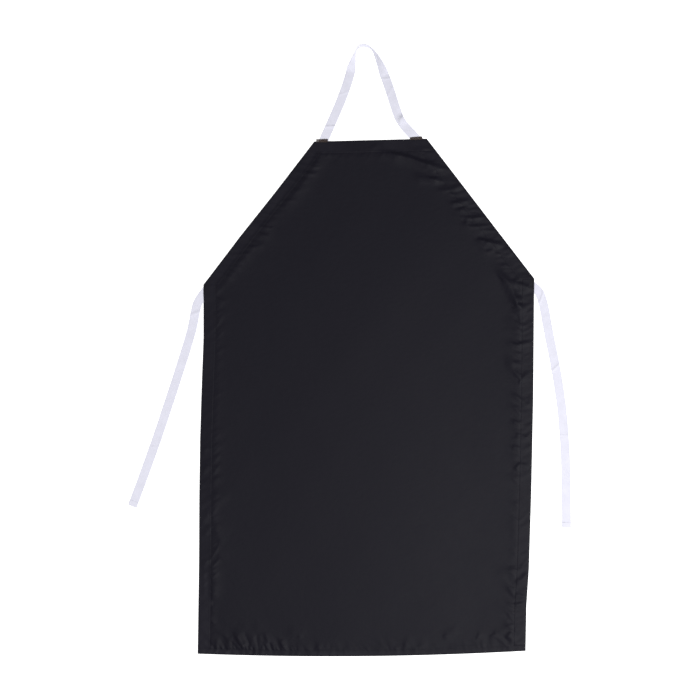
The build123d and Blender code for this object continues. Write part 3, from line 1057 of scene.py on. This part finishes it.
strap_ends, neck_tacks, tie_ends, tie_tacks, tie_stitches = {}, {}, {}, {}, {}
for side, sign in sides:
    end_line = [(sign * strap_root, top_y - hem_width), (sign * strap_root, top_y - 9 * MM)]
    line = np.array([(*laid(x, y), tape_middle) for x, y in end_line])
    strap_ends[side], _ = make_tape(f"sewn_strap_{side}", line)
    finish(strap_ends[side], tape_finish, "twill_tape", f"strap_end_{side}")

    node_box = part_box(f"tie_end_{side}")
    end_line = [(node_box[0].x, root_y), (node_box[1].x, root_y)]
    line = np.array([(*laid(x, y), tape_middle) for x, y in end_line])
    tie_ends[side], _ = make_tape(f"sewn_tie_{side}", line)
    finish(tie_ends[side], tape_finish, "twill_tape", f"tie_end_{side}")

    # A bar tack: close zigzag stitches across the tape, from the cloth's edge up on to the tape.
    rng = np.random.default_rng(31 + sign)
    across = sign * strap_root + np.arange(*tack_reach[side], tack_pitch)
    loose = rng.normal(0, 0.25 * MM, (2, len(across)))
    starts = face_over(across, top_y - tack_low + loose[0])
    starts[:, 2] += 0.15 * MM
    high = cloth_laid(across + 0.4 * MM, top_y + tack_high + loose[1])
    ends = np.column_stack([*high, np.full(len(across), tape_middle + tape_thick + 0.25 * MM)])
    neck_tacks[side] = make_stitches(
        f"bar_tack_neck_{side}", starts, ends, tack_thick, tack_thread_finish, "black_thread", f"neck_tack_{side}"
    )

    along = np.arange(-tape_width * 0.5, tape_width * 0.5, 0.45 * MM)
    first = face_over(sign * (half_skirt - 2.0 * MM) + 0 * along, root_y + along)
    last = face_over(sign * (half_skirt - 5.0 * MM) + 0 * along, root_y + along + 0.3 * MM)
    first[:, 2] += 0.1 * MM
    last[:, 2] += 0.1 * MM
    tie_tacks[side] = make_stitches(
        f"bar_tack_tie_{side}", first, last, 0.4 * MM, black_thread_finish, "black_thread", f"tie_tack_{side}"
    )

    # The fold at the tie's end is held by one short row of white stitches.
    line = tie_paths[side]
    end, way = line[-1], line[-1] - line[-6]
    way = way / np.linalg.norm(way)
    cross = np.array([way[1], -way[0], 0])
    middle = end - way * (tie_turn - seam_inset)
    places = np.linspace(-0.42, 0.42, 7) * tape_width
    starts = [middle + cross * (p - 1.05 * MM) for p in places]
    ends = [middle + cross * (p + 1.05 * MM) for p in places]
    for point in (*starts, *ends):
        point[2] = tape_middle + tape_thick * 1.7
    tie_stitches[side] = make_stitches(
        f"end_stitches_{side}", starts, ends, 0.4 * MM, white_thread_finish, "white_thread", f"tie_stitch_{side}"
    )

# ------------ what moves with what
for piece in (panel, hems["bib_left"], hems["bib_right"], seams["bib_left"], seams["bib_right"]):
    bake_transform(piece)
for piece in (hems["side_left"], hems["side_right"], hems["bottom"]):
    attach(piece, "skirt")
for piece in (seams["side_left"], seams["side_right"], seams["bottom"]):
    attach(piece, "skirt")
for piece in (hems["top"], seams["top"]):
    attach(piece, "bib")
for side, _ in sides:
    for piece in (strap_ends[side], neck_tacks[side]):
        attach(piece, "bib")
    for piece in (tie_ends[side], tie_tacks[side]):
        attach(piece, "skirt")
    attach(tie_tapes[side], f"{side}_tie")
    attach(tie_stitches[side], f"{side}_tie")
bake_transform(strap_tape)


skirt_area = 2 * half_skirt * (waist_y - bottom_y)
bib_area = (half_skirt + half_top) * (top_y - waist_y)
skirt_area + bib_area

# ------------ floor and light
bpy.ops.object.select_all(action="DESELECT")
bpy.ops.mesh.primitive_plane_add(size=14, location=(0, 0, 0))
floor = bpy.context.object
floor.name = "floor"
floor_finish = Finish("pale_floor", roughness=0.9, specular=0.1)
# A white light table: its own light comes up through it and hides nearly all of the soft shadows.
floor_finish.shader.inputs["Emission Color"].default_value = (1, 1, 1, 1)
floor_finish.shader.inputs["Emission Strength"].default_value = 0.5
floor.data.materials.append(floor_finish.done((0.92, 0.92, 0.92)))

world = bpy.data.worlds.new("studio")
world.use_nodes = True
world.node_tree.nodes["Background"].inputs["Color"].default_value = (1, 1, 1, 1)
world.node_tree.nodes["Background"].inputs["Strength"].default_value = 0.36
bpy.context.scene.world = world


def soft_light(name, place, size, power):
    """A square lamp behind a diffuser, aimed at the middle of the apron."""
    data = bpy.data.lights.new(name, "AREA")
    data.shape = "RECTANGLE"
    data.size = data.size_y = size
    data.energy = power
    light = bpy.data.objects.new(name, data)
    light.location = place
    light.rotation_mode = "QUATERNION"
    light.rotation_quaternion = (-Vector(place)).to_track_quat("-Z", "Y")
    light.visible_camera = False
    bpy.context.scene.collection.objects.link(light)


soft_light("softbox_near", (1.45, -0.95, 2.75), size=2.6, power=119)
soft_light("softbox_left", (-2.6, 0.6, 2.2), size=1.4, power=24)

bpy.context.scene.view_settings.view_transform = "Standard"
bpy.context.scene.view_settings.look = "None"
